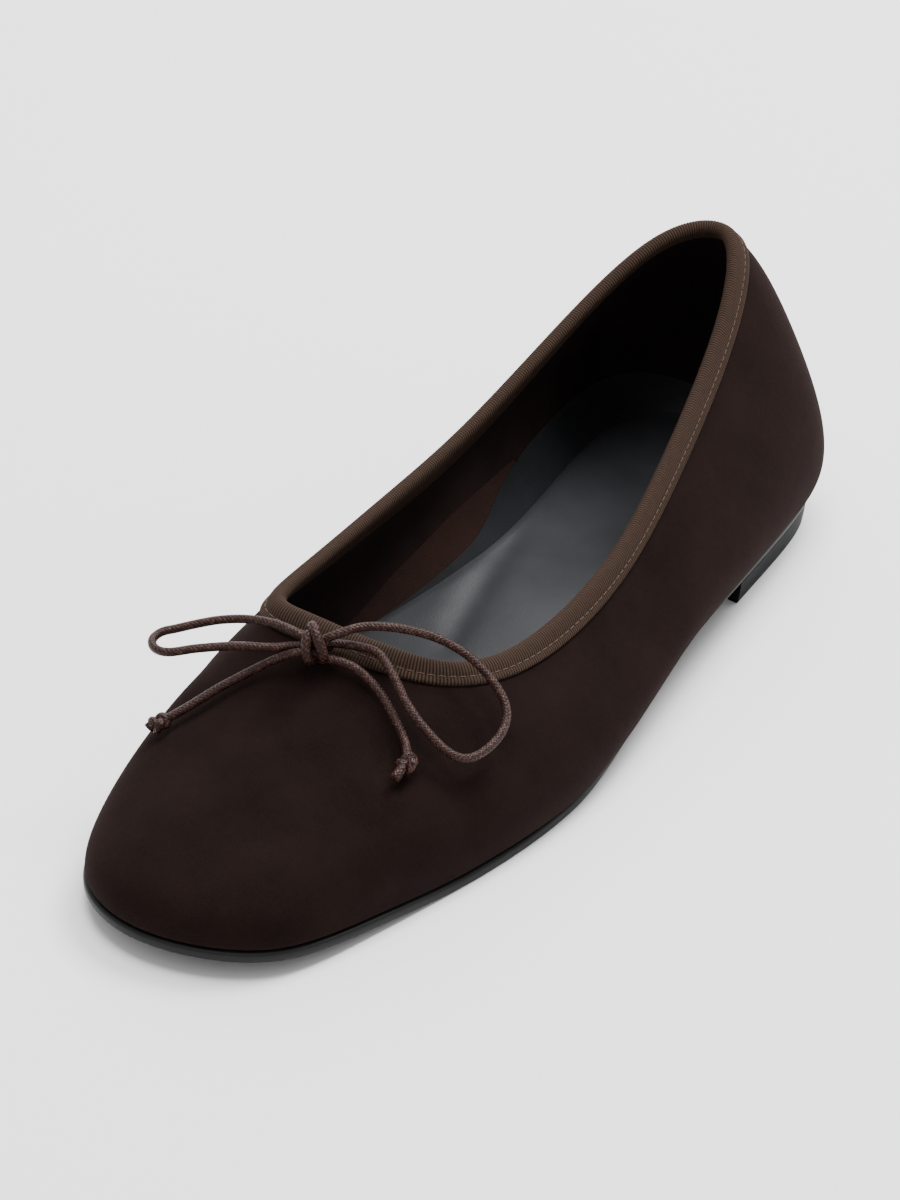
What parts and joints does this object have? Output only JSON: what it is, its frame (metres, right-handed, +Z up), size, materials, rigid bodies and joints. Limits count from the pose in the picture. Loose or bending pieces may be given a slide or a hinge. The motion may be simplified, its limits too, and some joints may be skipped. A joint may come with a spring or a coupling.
{
  "type": "ballet flat",
  "caption": "Slip-on ballet flat with a low-cut suede upper, ribbed collar binding with drawstring bow, thin leather sole and low heel; left foot.",
  "frame": {"origin": "centre of the footprint's bounding box, on the floor that the shoe stands on, the bow left out", "axes": "+Y from toe to heel along the foot, +X towards the outer side of the left foot, +Z up"},
  "size_m": [0.0884, 0.254, 0.075],
  "materials": {
    "sole_leather": "black, satin",
    "heel_block": "black stacked leather, polished",
    "suede": "dark brown suede, matt nap",
    "sock_leather": "black smooth lining leather",
    "ribbed_tape": "brown grosgrain, fine ribs",
    "cord": "brown round elastic cord, slight sheen"
  },
  "bodies": {
    "root": {"outsole": "sole_leather", "heel": "heel_block", "upper": "suede", "insole": "sock_leather", "collar_binding": "ribbed_tape", "bow_loop_outer": "cord", "bow_loop_inner": "cord", "bow_end_outer": "cord", "bow_end_inner": "cord", "bow_knot": "cord", "bow_end_knot_outer": "cord", "bow_end_knot_inner": "cord"}
  },
  "joints": []
}
